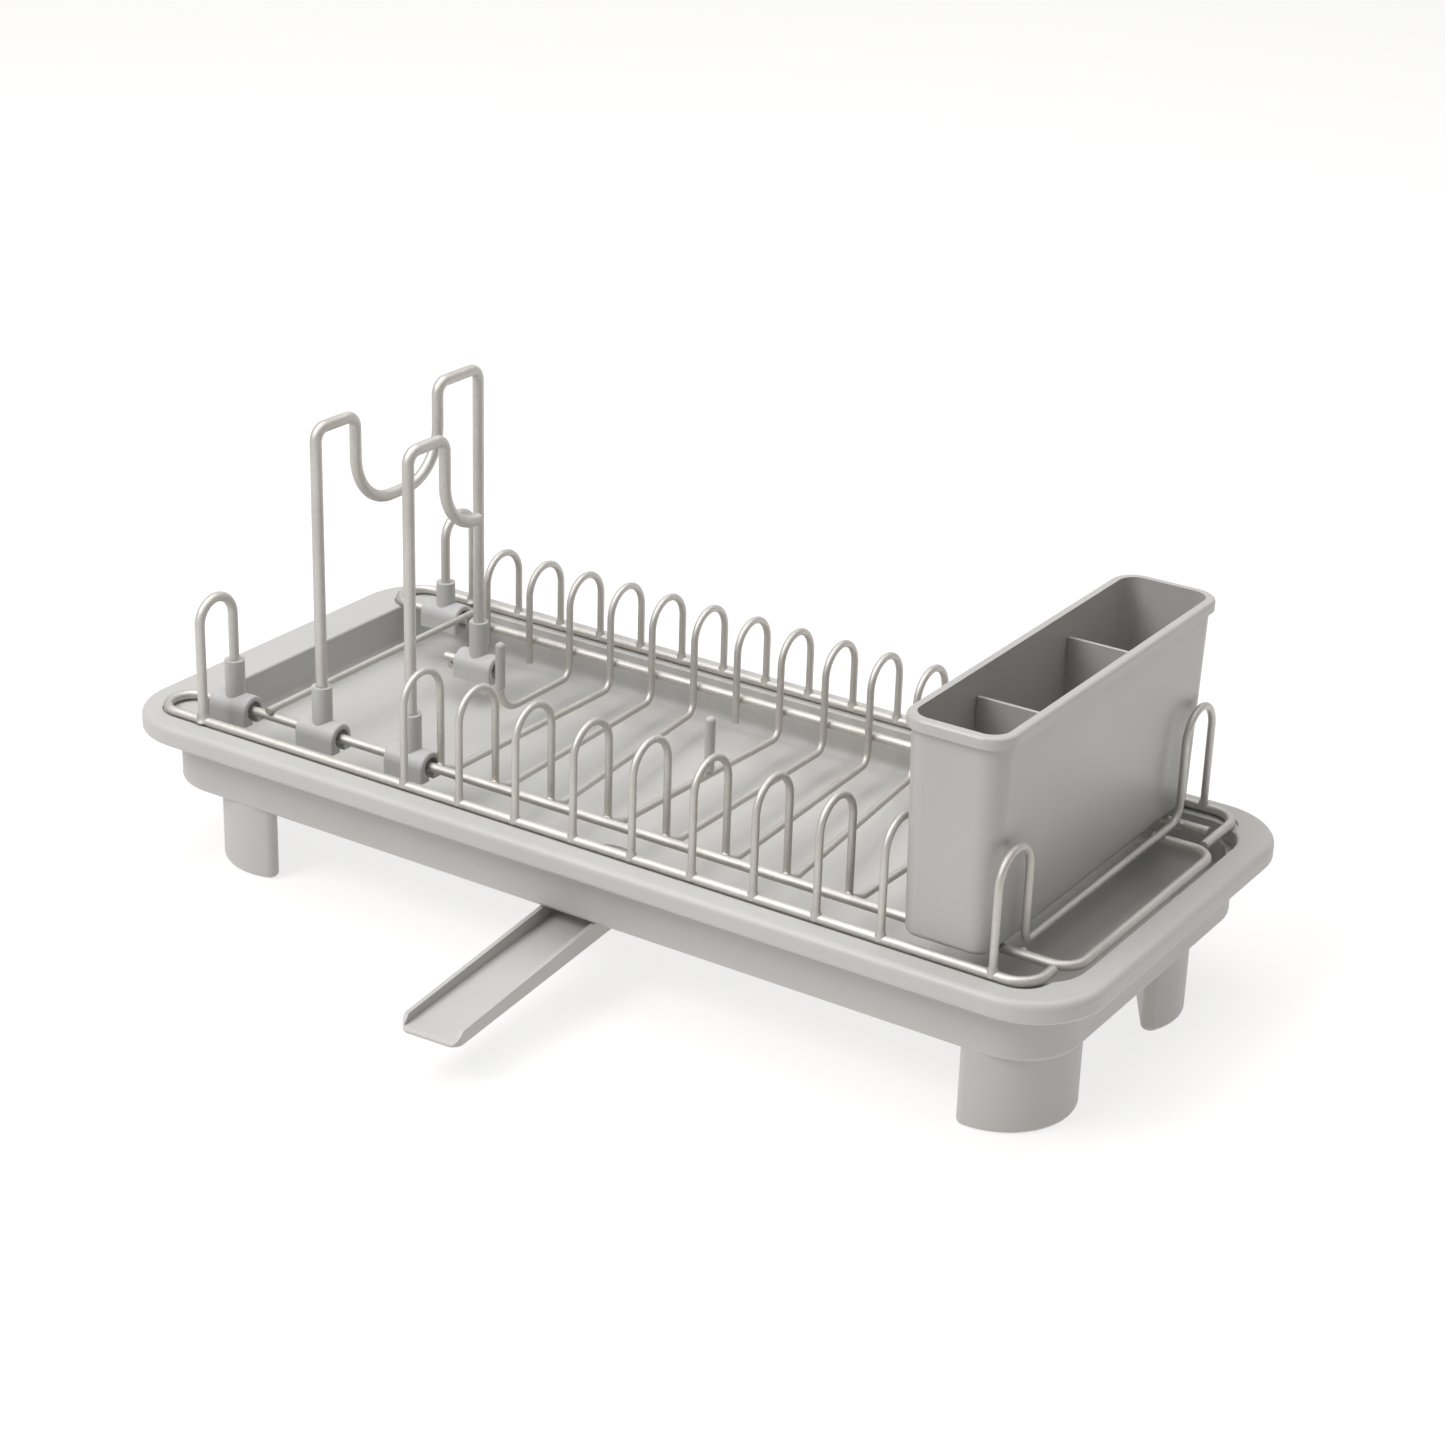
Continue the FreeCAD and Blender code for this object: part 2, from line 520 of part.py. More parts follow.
KNEE = 0.93
for back, front in PAIRS:
    from_x, to_x = back_x(back), front_x(front)
    wire("plate_wire_%d" % front, "plate_wire",
         back_leg(from_x, D.back_top)
         + [(from_x, LEG_IN, D.low_run),
            (from_x + (to_x - from_x) * KNEE, LEG_IN - 2 * LEG_IN * KNEE, D.knee_z),
            (to_x, -LEG_IN, D.rail_z - 1)] + front_leg(to_x, D.front_top),
         [HAIRPIN, HAIRPIN, 6, 12, 4, HAIRPIN, HAIRPIN])
for number in (2, 7, 12):
    wire("back_hairpin_%d" % number, "plate_wire",
         back_leg(back_x(number), D.back_top) + [(back_x(number), LEG_IN, D.hairpin_end)],
         [HAIRPIN, HAIRPIN])

# The first back hairpin runs forward under the short rod that carries the odd clip.
ROD_UNDER = D.clip_rod_z - RAIL - PLATE + D.bite
ROD_X = back_x(1) - 1.7
wire("rod_arm_wire", "plate_wire",
     back_leg(ROD_X, D.back_top)
     + [(ROD_X, LEG_IN, ROD_UNDER), (ROD_X, D.clip_rod_y - 1.5, ROD_UNDER)],
     [HAIRPIN, HAIRPIN, 5])
wire("clip_rod", "rail_wire",
     [(ROD_X - 3.5, D.clip_rod_y, D.clip_rod_z), (-138.5, D.clip_rod_y, D.clip_rod_z)], [])

# The third back hairpin runs forward and turns up into the first peg.
wire("peg_wire_left", "plate_wire",
     back_leg(back_x(3), D.back_top)
     + [(back_x(3), LEG_IN, D.low_run), (back_x(3), D.left_peg_y, D.low_run),
        (back_x(3), D.left_peg_y, D.left_peg_top - 3)],
     [HAIRPIN, HAIRPIN, 6, D.left_peg_bend])
wire("peg_wire_middle", "plate_wire",
     [(D.mid_peg_x, D.mid_peg_y, D.mid_peg_low), (D.mid_peg_x, D.mid_peg_y, D.mid_peg_top - 3)], [])

# Corner hoops, cup stand and cup hook: the ends that drop into a clip stop inside its sleeve.
POST_END = D.rail_z + D.post_end
for side, x, top, node in ((-1, D.hoop_front_x, D.hoop_front_top, "corner_hoop_front"),
                           (1, D.hoop_back_x, D.hoop_back_top, "corner_hoop_back")):
    wire(node, "hoop_wire",
         [(x, side * D.rail_outer, LEG_END), (x, side * D.rail_outer, top),
          (x, side * D.rail_inner, top), (x, side * D.rail_inner, POST_END)],
         [U_TURN - 0.05, U_TURN - 0.05])
wire("cup_stand", "stand_wire",
     [(D.stand_x, -D.rail_inner, POST_END), (D.stand_x, -D.rail_inner, D.stand_top),
      (D.stand_x, D.saddle_front, D.stand_top), (D.stand_x, D.saddle_front, D.saddle_low),
      (D.stand_x, D.saddle_back, D.saddle_low), (D.stand_x, D.saddle_back, D.stand_top),
      (D.stand_x, D.clip_rod_y, D.stand_top),
      (D.stand_x, D.clip_rod_y, D.clip_rod_z + D.post_end)],
     [6, 6, D.saddle_round, D.saddle_round, 6, 6])
wire("cup_hook", "stand_wire",
     [(D.hook_x, -D.rail_inner, POST_END), (D.hook_x, -D.rail_inner, D.stand_top),
      (D.hook_x, D.saddle_front - 1.5, D.stand_top), (D.hook_x, D.saddle_front - 1.5, D.saddle_low),
      (D.hook_x, D.hook_end + 1, D.saddle_low)],
     [6, 6, 22])


# ---------------------------------------------------------------- clips
def clip(node, x, y, rail_z, sleeve, bore):
    """Saddle that snaps over a rail from above, with an upright sleeve for a wire end."""
    body = new_body(node + "_body")
    bind(body, Placement__Base__x=x, Placement__Base__y="dims.tray_y + (%s)" % y,
         Placement__Base__z=rail_z)
    saddle = new_sketch(body, node + "_saddle", "0", role="YZ_Plane")
    half = D.clip_deep / 2
    low = -D.clip_skirt
    saddle.addGeometry(Part.ArcOfCircle(Part.Circle(Vector(0, 0, 0), Vector(0, 0, 1), half), 0, math.pi))
    saddle.addGeometry(Part.LineSegment(Vector(-half, 0, 0), Vector(-half, low, 0)))
    saddle.addGeometry(Part.LineSegment(Vector(-half, low, 0), Vector(half, low, 0)))
    saddle.addGeometry(Part.LineSegment(Vector(half, low, 0), Vector(half, 0, 0)))
    saddle.addConstraint(Sketcher.Constraint("Tangent", 0, 2, 1, 1))
    saddle.addConstraint(Sketcher.Constraint("Coincident", 1, 2, 2, 1))
    saddle.addConstraint(Sketcher.Constraint("Coincident", 2, 2, 3, 1))
    saddle.addConstraint(Sketcher.Constraint("Tangent", 3, 2, 0, 1))
    saddle.addConstraint(Sketcher.Constraint("Horizontal", 2))
    saddle.addConstraint(Sketcher.Constraint("Coincident", 0, 3, -1, 1))
    deep = saddle.addConstraint(Sketcher.Constraint("DistanceX", 2, 1, 2, 2, D.clip_deep))
    drop = saddle.addConstraint(Sketcher.Constraint("DistanceY", 2, 1, -1, 1, D.clip_skirt))
    saddle.setExpression("Constraints[%d]" % deep, "dims.clip_deep")
    saddle.setExpression("Constraints[%d]" % drop, "dims.clip_skirt")
    block = pad(body, saddle, node + "_block", "dims.clip_long")
    block.Midplane = True
    doc.recompute()
    ends = [n for n, e in enumerate(block.Shape.Edges, start=1)
            if abs(abs(e.BoundBox.XMin) - D.clip_long / 2) < 0.01 and e.BoundBox.XLength < 0.01
            and e.BoundBox.ZMax > low + 0.1]
    round_edges(body, block, ["Edge%d" % n for n in ends], node + "_ends", "1.2")
    disc(body, node + "_sleeve", "dims.sleeve_radius", "0", sleeve)
    rail_cut = new_sketch(body, node + "_rail_bore", "0", role="YZ_Plane")
    draw_circle(rail_cut, "dims.rail_wire_half + 0.05")
    bore_cut = pocket(body, rail_cut, node + "_rail_hole", "dims.clip_long + 2")
    bore_cut.Midplane = True
    for end, sign in (("right", ""), ("left", "-")):
        bell = new_sketch(body, "%s_bell_%s" % (node, end),
                          sign + "(dims.clip_long_half - dims.bell_deep)", role="YZ_Plane")
        draw_circle(bell, "dims.bell_radius")
        pocket(body, bell, "%s_bell_cut_%s" % (node, end), "10", reverse=not sign)
    box_pad(body, node + "_slot", "dims.clip_long + 2", "dims.clip_slot", "-20", "20", cut=True,
            reverse=True)
    disc(body, node + "_post_bore", bore, "dims.post_end - 0.4", "40", cut=True, reverse=True)
    return keep(body, node)


STAND_BORE = "dims.stand_wire_half + dims.fit_gap"
HOOP_BORE = "dims.hoop_wire_half + dims.fit_gap"
for node, x, y, z, sleeve, bore in (
        ("clip_corner_front", "hoop_front_x", "-dims.rail_inner", "rail_z", "sleeve_top", HOOP_BORE),
        ("clip_stand_front", "stand_x", "-dims.rail_inner", "rail_z", "sleeve_top", STAND_BORE),
        ("clip_hook", "hook_x", "-dims.rail_inner", "rail_z", "sleeve_top", STAND_BORE),
        ("clip_corner_back", "hoop_back_x", "dims.rail_inner", "rail_z", "sleeve_short", HOOP_BORE),
        ("clip_stand_back", "stand_x", "dims.clip_rod_y", "clip_rod_z", "sleeve_top", STAND_BORE)):
    clip(node, "dims." + x, y, "dims." + z, "dims." + sleeve, bore)


# ---------------------------------------------------------------- peg caps and caddy
def peg_cap(node, x, y, low, top):
    """Plastic sleeve with a domed end, pushed over a peg wire."""
    body = new_body(node + "_body")
    bind(body, Placement__Base__x=x, Placement__Base__y="dims.tray_y + " + y)
    disc(body, node + "_sleeve", "dims.peg_cap_half", low, "%s - %s" % (top, low))
    doc.recompute()
    sleeve = body.Tip
    round_edges(body, sleeve, edges_at(sleeve.Shape, amount(top)), node + "_dome", "2")
    disc(body, node + "_bore", "dims.plate_wire_half + 0.02", low + " - 1",
         "%s - %s - 1.95" % (top, low), cut=True, reverse=True)
    return keep(body, node)


LEFT_PEG_X = "dims.back_first + 2 * dims.back_pitch"
peg_cap("peg_cap_left", LEFT_PEG_X, "dims.left_peg_y", "dims.left_cap_low", "dims.left_peg_top")
peg_cap("peg_cap_middle", "dims.mid_peg_x", "dims.mid_peg_y", "dims.mid_cap_low", "dims.mid_peg_top")

caddy = new_body("caddy_body")
bind(caddy, Placement__Base__x="dims.caddy_x", Placement__Base__y="dims.tray_y + dims.caddy_off_y",
     Placement__Base__z="dims.caddy_low")
slab(caddy, "caddy_wall", "dims.caddy_half_x", "dims.caddy_half_y", "dims.caddy_corner", "0",
     "dims.caddy_high", taper="dims.caddy_taper")
doc.recompute()
walls = caddy.Tip
round_edges(caddy, walls, edges_at(walls.Shape, 0), "caddy_bottom", "3")
slab(caddy, "caddy_lip", "dims.caddy_half_x + dims.caddy_spread + dims.lip_out",
     "dims.caddy_half_y + dims.caddy_spread + dims.lip_out", "dims.caddy_corner + dims.lip_out + 2",
     "dims.caddy_high - dims.lip_high", "dims.lip_high")
doc.recompute()
lip = caddy.Tip
round_edges(caddy, lip, edges_at(lip.Shape, D.caddy_high, low=D.caddy_half_x + D.caddy_spread + 1),
            "lip_edge", "1.6")
doc.recompute()
slab(caddy, "caddy_hollow", "dims.caddy_half_x - dims.caddy_wall", "dims.caddy_half_y - dims.caddy_wall",
     "dims.caddy_corner - dims.caddy_wall", "dims.caddy_floor", "dims.caddy_high", cut=True,
     reverse=True, taper="dims.caddy_taper")
doc.recompute()
for name in ("divider_front", "divider_back"):
    box_pad(caddy, name + "_wall", "dims.caddy_half_x + dims.caddy_half_x - 1", "dims.divider_wide",
            "dims.caddy_floor - 0.5", "dims.divider_top - dims.caddy_low - dims.caddy_floor",
            at=("0", "dims.%s - dims.caddy_off_y" % name))
keep(caddy, "utensil_caddy")

# ---------------------------------------------------------------- checks and export
doc.recompute()
for obj in doc.Objects:
    if "Invalid" in obj.State or "Error" in obj.State:
        raise RuntimeError("%s is %s" % (obj.Name, obj.State))
for obj in FINAL:
    shape = obj.Shape
    if shape.isNull() or not shape.isValid() or not shape.Solids or shape.Volume <= 0:
        raise RuntimeError("%s has no sound solid" % obj.Label)
for obj in FINAL:
    obj.Shape.exportStep("parts/%s.step" % obj.Label)
    print("%-20s %10.1f mm3  solids %d" % (obj.Label, obj.Shape.Volume, len(obj.Shape.Solids)))
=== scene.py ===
import json
import math

import bmesh
import bpy
from mathutils import Matrix, Vector, noise


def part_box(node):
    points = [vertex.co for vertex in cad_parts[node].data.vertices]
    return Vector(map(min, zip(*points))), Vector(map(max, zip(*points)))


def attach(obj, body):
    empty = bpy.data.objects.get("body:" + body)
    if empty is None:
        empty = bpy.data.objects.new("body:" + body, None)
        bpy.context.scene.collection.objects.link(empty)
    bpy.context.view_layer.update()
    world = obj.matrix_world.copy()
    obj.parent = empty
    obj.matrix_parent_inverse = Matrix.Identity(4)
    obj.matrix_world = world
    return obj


# Looks of the dish drying rack: finishes for the moulded tray, spout, clips and caddy, satin wire
# with weld beads where the wires meet, a pale studio floor, soft light and the camera.

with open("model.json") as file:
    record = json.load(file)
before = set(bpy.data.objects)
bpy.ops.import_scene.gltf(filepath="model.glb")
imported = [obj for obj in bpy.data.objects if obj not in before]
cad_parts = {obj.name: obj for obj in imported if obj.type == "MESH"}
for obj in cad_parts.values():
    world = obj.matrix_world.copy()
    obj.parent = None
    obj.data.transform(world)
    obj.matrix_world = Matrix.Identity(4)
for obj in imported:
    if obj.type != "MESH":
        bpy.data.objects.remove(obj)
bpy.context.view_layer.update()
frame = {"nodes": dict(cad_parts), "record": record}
nodes = frame["nodes"]
scene = bpy.context.scene


# ------------------------------------------------------------------ material helpers
class Finish:
    """A node material with its Principled shader and short calls for adding nodes."""

    def __init__(self, name):
        self.material = bpy.data.materials.new(name)
        self.material.use_nodes = True
        self.tree = self.material.node_tree
        self.shader = self.tree.nodes["Principled BSDF"]
        self.coords = self.tree.nodes.new("ShaderNodeTexCoord").outputs["Object"]

    def set(self, **values):
        for name, value in values.items():
            self.shader.inputs[name.replace("_", " ")].default_value = value

    def join(self, start, end):
        self.tree.links.new(start, end)

    def noise(self, scale, detail=3.0, rough=0.5, stretch=(1, 1, 1)):
        mapping = self.tree.nodes.new("ShaderNodeMapping")
        mapping.inputs["Scale"].default_value = stretch
        self.join(self.coords, mapping.inputs["Vector"])
        node = self.tree.nodes.new("ShaderNodeTexNoise")
        node.inputs["Scale"].default_value = scale
        node.inputs["Detail"].default_value = detail
        node.inputs["Roughness"].default_value = rough
        self.join(mapping.outputs["Vector"], node.inputs["Vector"])
        return node.outputs["Fac"]

    def spread(self, source, low, high, start=0.0, end=1.0):
        """Map a 0-1 source between start and end onto the range low to high."""
        node = self.tree.nodes.new("ShaderNodeMapRange")
        node.inputs["From Min"].default_value = start
        node.inputs["From Max"].default_value = end
        node.inputs["To Min"].default_value = low
        node.inputs["To Max"].default_value = high
        self.join(source, node.inputs["Value"])
        return node.outputs["Result"]

    def ramp(self, source, stops):
        node = self.tree.nodes.new("ShaderNodeValToRGB")
        ends = node.color_ramp.elements
        ends[0].position, ends[0].color = stops[0][0], (*stops[0][1], 1)
        ends[1].position, ends[1].color = stops[-1][0], (*stops[-1][1], 1)
        for position, colour in stops[1:-1]:
            ends.new(position).color = (*colour, 1)
        self.join(source, node.inputs["Fac"])
        return node.outputs["Color"]

    def blend(self, factor, first, second, mode="MIX"):
        node = self.tree.nodes.new("ShaderNodeMix")
        node.data_type = "RGBA"
        node.blend_type = mode
        for socket, value in ((0, factor), (6, first), (7, second)):
            if isinstance(value, bpy.types.NodeSocket):
                self.join(value, node.inputs[socket])
            elif socket == 0:
                node.inputs[0].default_value = value
            else:
                node.inputs[socket].default_value = (*value, 1)
        return node.outputs[2]

    def math(self, kind, first, second):
        node = self.tree.nodes.new("ShaderNodeMath")
        node.operation = kind
        for socket, value in ((0, first), (1, second)):
            if isinstance(value, bpy.types.NodeSocket):
                self.join(value, node.inputs[socket])
            else:
                node.inputs[socket].default_value = value
        return node.outputs[0]

    def edge(self, radius):
        """Mask that is 1 on sharp outer edges and 0 on flats."""
        bevel = self.tree.nodes.new("ShaderNodeBevel")
        bevel.samples = 4
        bevel.inputs["Radius"].default_value = radius
        plain = self.tree.nodes.new("ShaderNodeNewGeometry")
        dot = self.tree.nodes.new("ShaderNodeVectorMath")
        dot.operation = "DOT_PRODUCT"
        self.join(bevel.outputs["Normal"], dot.inputs[0])
        self.join(plain.outputs["Normal"], dot.inputs[1])
        return self.spread(dot.outputs["Value"], 1.0, 0.0, 0.86, 0.995)

    def bump(self, height, strength, distance, under=None):
        node = self.tree.nodes.new("ShaderNodeBump")
        node.inputs["Strength"].default_value = strength
        node.inputs["Distance"].default_value = distance
        self.join(height, node.inputs["Height"])
        if under is not None:
            self.join(under, node.inputs["Normal"])
        return node.outputs["Normal"]


def plastic(name, colour, warm, rough_low, rough_high, grain, coat=0.0):
    """Moulded plastic: cloudy tone, fine spark-eroded grain, faint flow marks, edges lightened partly as wear
    and partly as painted sheen.
    """
    finish = Finish(name)
    deep = tuple(c * 0.93 for c in colour)
    cloud = finish.ramp(finish.noise(9.0, 4.0), [(0.3, deep), (0.55, colour), (0.8, warm)])
    fleck = finish.spread(finish.noise(900.0, 2.0), 0.975, 1.02)
    speckled = finish.blend(1.0, cloud, fleck, "MULTIPLY")
    edge = finish.edge(0.0009)
    # Sharp edges get a lighter colour: partly wear, partly a painted sheen; the same mask also lowers
    # roughness there.
    edge_wear_and_sheen = finish.math("MULTIPLY", edge, finish.spread(finish.noise(60.0, 3.0), 0.0, 0.4, 0.35, 0.7))
    lighter = tuple(min(1.0, c * 1.1) for c in colour)
    finish.join(finish.blend(edge_wear_and_sheen, speckled, lighter), finish.shader.inputs["Base Color"])
    patches = finish.spread(finish.noise(14.0, 5.0, 0.6), rough_low, rough_high, 0.3, 0.7)
    scuffs = finish.spread(finish.noise(220.0, 3.0, 0.6), -0.01, 0.015, 0.3, 0.7)
    rough = finish.math("ADD", patches, scuffs)
    finish.join(finish.math("SUBTRACT", rough, finish.math("MULTIPLY", edge_wear_and_sheen, 0.16)),
                finish.shader.inputs["Roughness"])
    waves = finish.bump(finish.noise(18.0, 1.0), 0.03, 0.0006)
    finish.join(finish.bump(finish.noise(grain, 2.0, 0.5), 0.04, 0.0001, waves),
                finish.shader.inputs["Normal"])
    finish.set(Coat_Weight=coat, Coat_Roughness=0.2, Specular_IOR_Level=0.5)
    return finish.material


def metal(name, colour, shade, rough_low, rough_high, brush):
    """Plated wire or turned steel: tone shifts, satin roughness and fine polishing marks."""
    finish = Finish(name)
    tone = finish.ramp(finish.noise(22.0, 2.0), [(0.3, shade), (0.6, colour), (0.85, colour)])
    spots = finish.spread(finish.noise(420.0, 2.0), 0.96, 1.02, 0.25, 0.6)
    finish.join(finish.blend(1.0, tone, spots, "MULTIPLY"), finish.shader.inputs["Base Color"])
    cloudy = finish.spread(finish.noise(40.0, 4.0, 0.6), rough_low, rough_high, 0.3, 0.7)
    finish.join(cloudy, finish.shader.inputs["Roughness"])
    scratches = finish.noise(brush, 4.0, 0.65, (0.2, 1, 1))
    pits = finish.noise(700.0, 2.0)
    finish.join(finish.bump(pits, 0.03, 0.00005, finish.bump(scratches, 0.04, 0.00006)),
                finish.shader.inputs["Normal"])
    finish.set(Metallic=1.0, Specular_IOR_Level=0.5)
    return finish.material


FINISHES = {
    "tray_plastic": plastic("tray_plastic_look", (0.475, 0.467, 0.450), (0.490, 0.478, 0.456),
                            0.38, 0.48, 2300.0),
    "caddy_plastic": plastic("caddy_plastic_look", (0.430, 0.420, 0.402), (0.442, 0.430, 0.408),
                             0.30, 0.35, 2300.0, 0.06),
    "clip_plastic": plastic("clip_plastic_look", (0.460, 0.458, 0.450), (0.475, 0.468, 0.456),
                            0.40, 0.50, 2600.0),
    "satin_wire": metal("satin_wire_look", (0.635, 0.615, 0.588), (0.580, 0.555, 0.525),
                        0.56, 0.65, 1400.0),
    "screw_steel": metal("screw_steel_look", (0.62, 0.62, 0.62), (0.54, 0.54, 0.54),
                         0.26, 0.38, 1400.0),
}
for part in frame["record"]["subparts"]:
    mesh = nodes[part["node"]].data
    mesh.materials.clear()
    mesh.materials.append(FINISHES[part["material_slot"]])


# ------------------------------------------------------------------ weld beads on the wire rack
def middle(node, axis):
    """Middle of a node's box along one axis."""
    low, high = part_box(node)
    return (low[axis] + high[axis]) / 2


def radius_of(node, axis):
    """Radius of a straight wire, from its box across one axis."""
    low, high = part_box(node)
    return (high[axis] - low[axis]) / 2


RAIL_R = radius_of("clip_rod", 2)
LEG_R = radius_of("left_cross_wire", 0)
RAIL_Z = middle("front_frame_wire", 2)
OUTER = {-1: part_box("front_frame_wire")[0].y + RAIL_R, 1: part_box("back_frame_wire")[1].y - RAIL_R}
CROSS_OVERHANG = 0.003
INNER = {-1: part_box("left_cross_wire")[0].y + CROSS_OVERHANG,
         1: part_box("left_cross_wire")[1].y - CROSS_OVERHANG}

# Weld collar: pairs of reach, as a multiple of the leg's radius, and height over the rail's top.
COLLAR_ROWS = ((1.00, 0.0021), (1.06, 0.0014), (1.18, 0.0008), (1.36, 0.0003), (1.50, -0.0004))
COLLAR_STEPS = 18
LEG_CLEARANCE = 0.00003

# Weld beads: half sizes along x, y and z, and how far the two beads of a pair sit from the middle.
PAIR_BEAD = (0.0019, 0.0011, 0.0013)
PAIR_STEP = 0.0009
CROSS_BEAD = (0.0021, 0.0017, 0.0006)


def add_collar(shape, x, y, z, leg, seed):
    """Concave fillet of weld metal round an upright leg where it lands on a rail."""
    rings = []
    for scale, rise in COLLAR_ROWS:
        ring = []
        for step in range(COLLAR_STEPS):
            turn = 2 * math.pi * step / COLLAR_STEPS
            place = Vector((seed * 3.1, math.cos(turn) * 2, math.sin(turn) * 2))
            wobble = 1 + 0.07 * noise.noise(place)
            reach = leg * (1 + (scale - 1) * wobble) + LEG_CLEARANCE
            along = reach * math.cos(turn)
            across = reach * math.sin(turn)
            drop = RAIL_R - math.sqrt(max(RAIL_R ** 2 - across ** 2, 0))
            ring.append(shape.verts.new((x + along, y + across, z + rise * wobble - drop)))
        rings.append(ring)
    for upper, lower in zip(rings, rings[1:]):
        for step in range(COLLAR_STEPS):
            after = (step + 1) % COLLAR_STEPS
            shape.faces.new((upper[step], lower[step], lower[after], upper[after]))


def add_bead(shape, centre, size, seed):
    """Small uneven lump of weld metal between two wires that pass side by side."""
    made = bmesh.ops.create_icosphere(shape, subdivisions=3, radius=1.0)
    for vert in made["verts"]:
        lump = 1 + 0.16 * noise.noise(vert.co * 1.7 + Vector((seed, 0, seed * 0.7)))
        vert.co = Vector(centre) + Vector(s * c * lump for s, c in zip(size, vert.co))


def finish_piece(name, shape, body, slot):
    """Turn a finished bmesh into a smooth piece that rides on a body."""
    mesh = bpy.data.meshes.new(name)
    bmesh.ops.recalc_face_normals(shape, faces=shape.faces)
    shape.to_mesh(mesh)
    shape.free()
    for face in mesh.polygons:
        face.use_smooth = True
    piece = bpy.data.objects.new(name, mesh)
    scene.collection.objects.link(piece)
    mesh.materials.append(FINISHES[slot])
    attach(piece, body)


def hairpin_ends():
    """The x of every upright hairpin, as (side, x) with side -1 in front and 1 behind."""
    found = []
    for node in nodes:
        low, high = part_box(node)
        if node.startswith("plate_wire_"):
            found += [(-1, high.x - LEG_R), (1, low.x + LEG_R)]
        elif node.startswith("back_hairpin_") or node in ("peg_wire_left", "rod_arm_wire"):
            found.append((1, middle(node, 0)))
        elif node == "end_hoop_wire":
            found += [(-1, middle(node, 0)), (1, middle(node, 0))]
    return found


collars = bmesh.new()
beads = bmesh.new()
for count, (side, x) in enumerate(hairpin_ends()):
    add_collar(collars, x, OUTER[side], RAIL_Z + RAIL_R, LEG_R, count)
    touch = INNER[side] - side * (RAIL_R - 0.0001)
    for lift in (-PAIR_STEP, PAIR_STEP):
        add_bead(beads, (x + lift * 0.4, touch, RAIL_Z + lift), PAIR_BEAD, count + lift * 900)
for side, node in ((-1, "corner_hoop_front"), (1, "corner_hoop_back")):
    add_collar(collars, middle(node, 0), OUTER[side], RAIL_Z + RAIL_R, radius_of(node, 0), 60 + side)
cross_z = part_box("left_cross_wire")[0].z
for side in (-1, 1):
    add_bead(beads, (middle("left_cross_wire", 0), INNER[side], cross_z), CROSS_BEAD, 70 + side)
finish_piece("weld_collars", collars, "wire_rack", "satin_wire")
finish_piece("weld_beads", beads, "wire_rack", "satin_wire")


# ------------------------------------------------------------------ floor, light and camera
def paper_white():
    """White light table: a faintly mottled surface that also glows a little."""
    finish = Finish("floor_look")
    tone = finish.ramp(finish.noise(2.0, 2.0), [(0.2, (0.27, 0.265, 0.255)), (0.8, (0.28, 0.275, 0.265))])
    finish.join(tone, finish.shader.inputs["Base Color"])
    finish.set(Roughness=0.9, Specular_IOR_Level=0.1)
    finish.set(Emission_Color=(1, 1, 1, 1), Emission_Strength=0.74)
    return finish.material


floor_mesh = bpy.data.meshes.new("studio_floor")
sweep = bmesh.new()
FLOOR_REACH = 9.0
FLOOR_CURVE = 2.0
WALL_HEIGHT = 6.0
UNDER_FEET = 0.0002
curve_start = FLOOR_REACH - FLOOR_CURVE
profile = [(-FLOOR_REACH, 0.0), (curve_start, 0.0)]
for degrees in range(15, 91, 15):
    turn = math.radians(degrees)
    profile.append((curve_start + FLOOR_CURVE * math.sin(turn), FLOOR_CURVE - FLOOR_CURVE * math.cos(turn)))
profile.append((FLOOR_REACH, WALL_HEIGHT))
columns = [[sweep.verts.new((x, y, z - UNDER_FEET)) for y, z in profile] for x in (-FLOOR_REACH, FLOOR_REACH)]
for k in range(len(profile) - 1):
    sweep.faces.new((columns[0][k], columns[1][k], columns[1][k + 1], columns[0][k + 1]))
sweep.to_mesh(floor_mesh)
sweep.free()
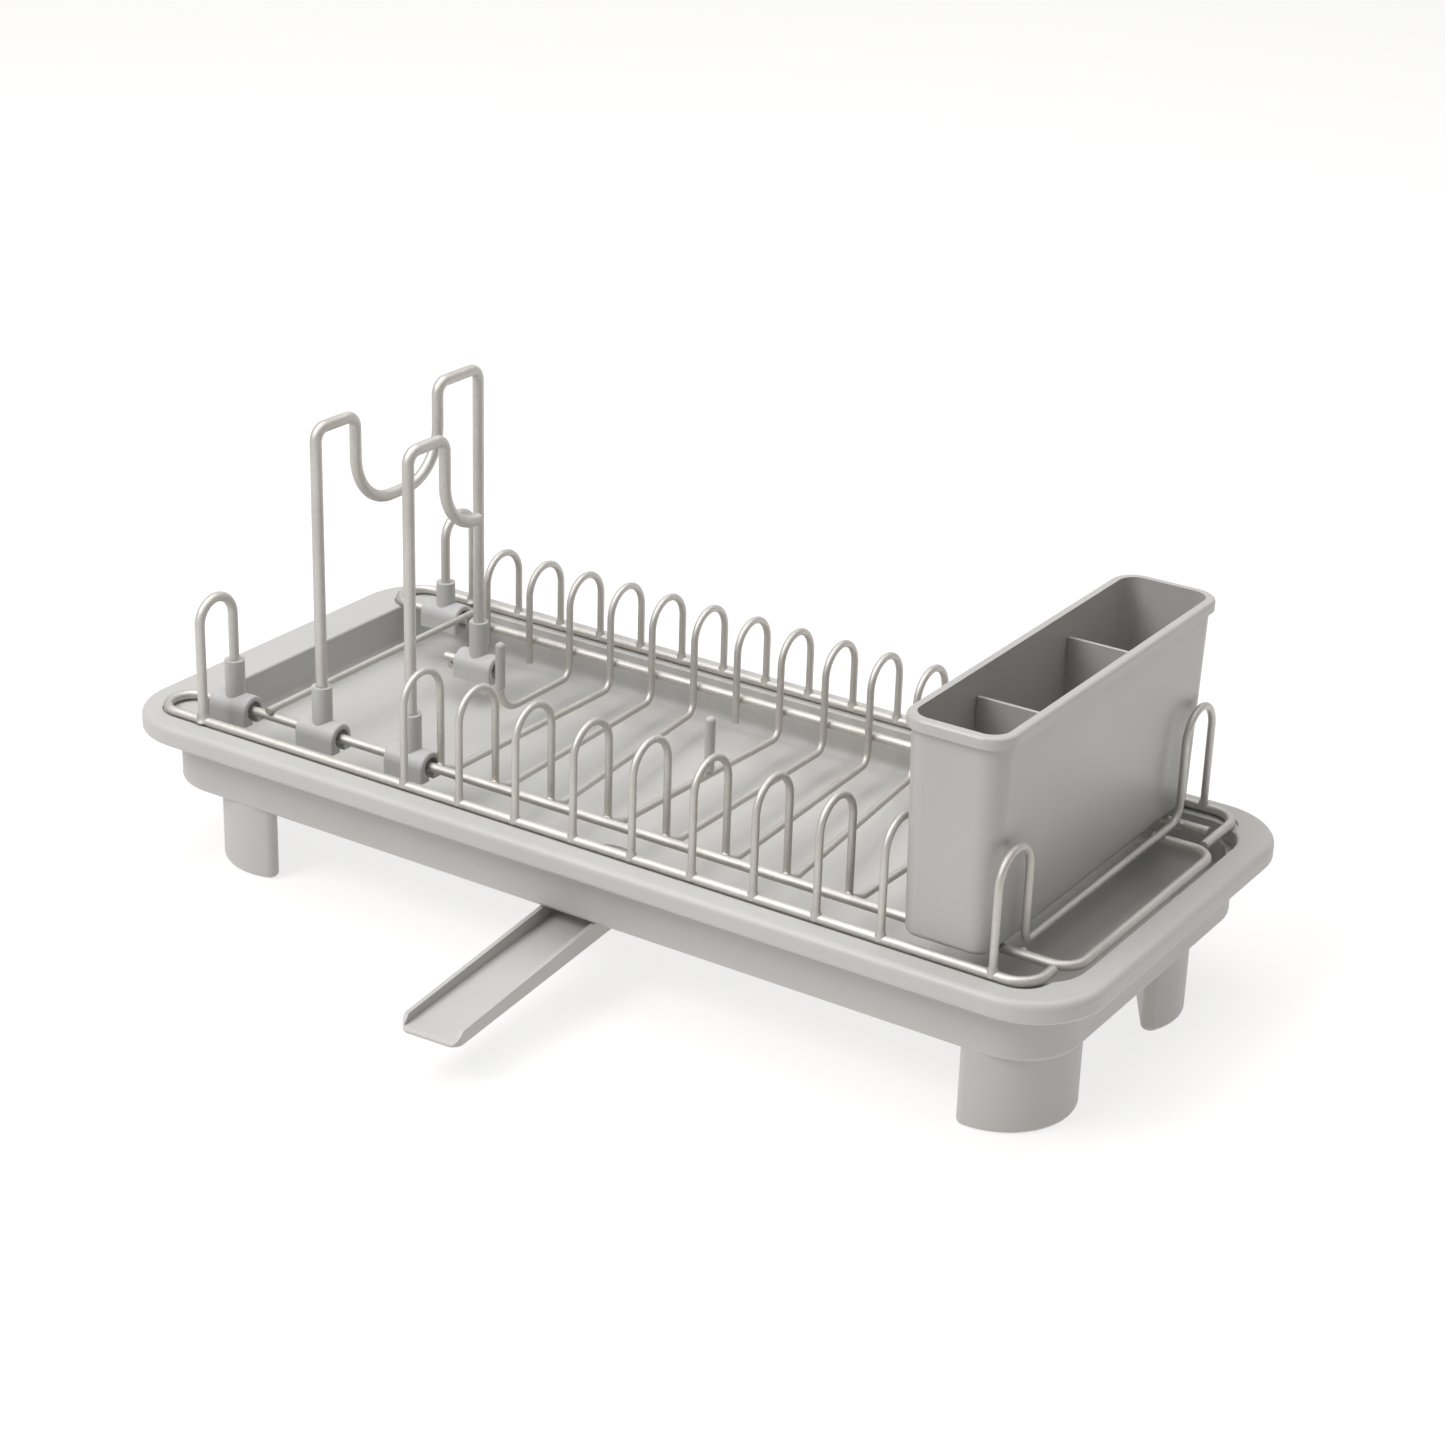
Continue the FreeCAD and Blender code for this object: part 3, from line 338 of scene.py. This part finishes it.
for face in floor_mesh.polygons:
    face.use_smooth = True
floor = bpy.data.objects.new("studio_floor", floor_mesh)
scene.collection.objects.link(floor)
floor_mesh.materials.append(paper_white())


RACK_MIDDLE = Vector((0, 0, 0.1))


def softbox(name, place, size, power):
    """Square area light that faces the middle of the rack."""
    light = bpy.data.lights.new(name, "AREA")
    light.shape = "RECTANGLE"
    light.size = size
    light.size_y = size
    light.energy = power
    lamp = bpy.data.objects.new(name, light)
    lamp.location = place
    lamp.rotation_euler = (RACK_MIDDLE - Vector(place)).to_track_quat("-Z", "Y").to_euler()
    scene.collection.objects.link(lamp)


softbox("top_softbox", (-0.1, 0.3, 2.4), 2.4, 44)
softbox("front_left_softbox", (-0.9, -1.6, 2.1), 1.5, 52)

world = bpy.data.worlds.new("studio_world")
scene.world = world
world.use_nodes = True
sky = world.node_tree
direction = sky.nodes.new("ShaderNodeTexCoord").outputs["Generated"]
split = sky.nodes.new("ShaderNodeSeparateXYZ")
sky.links.new(direction, split.inputs[0])
height = sky.nodes.new("ShaderNodeValToRGB")
sky.links.new(split.outputs["Z"], height.inputs["Fac"])
height.color_ramp.elements[0].position = 0.0
height.color_ramp.elements[0].color = (0.56, 0.53, 0.50, 1)
height.color_ramp.elements[1].position = 0.55
height.color_ramp.elements[1].color = (1.0, 1.0, 1.0, 1)
sky.links.new(height.outputs["Color"], sky.nodes["Background"].inputs["Color"])
sky.nodes["Background"].inputs["Strength"].default_value = 0.35
scene.view_settings.view_transform = "Standard"

camera_data = bpy.data.cameras.new("camera")
camera_data.sensor_width = 36.0
camera_data.lens = 76.97
camera_data.clip_end = 60.0
camera = bpy.data.objects.new("camera", camera_data)
right = Vector((0.83510, 0.54933, 0.02892))
up = Vector((-0.24309, 0.32136, 0.91522))
back = Vector((0.49347, -0.77134, 0.40191))
camera.matrix_world = Matrix.Translation((0.69904, -1.02199, 0.65273)) @ Matrix(
    (right, up, back)).transposed().to_4x4()
scene.collection.objects.link(camera)
scene.camera = camera
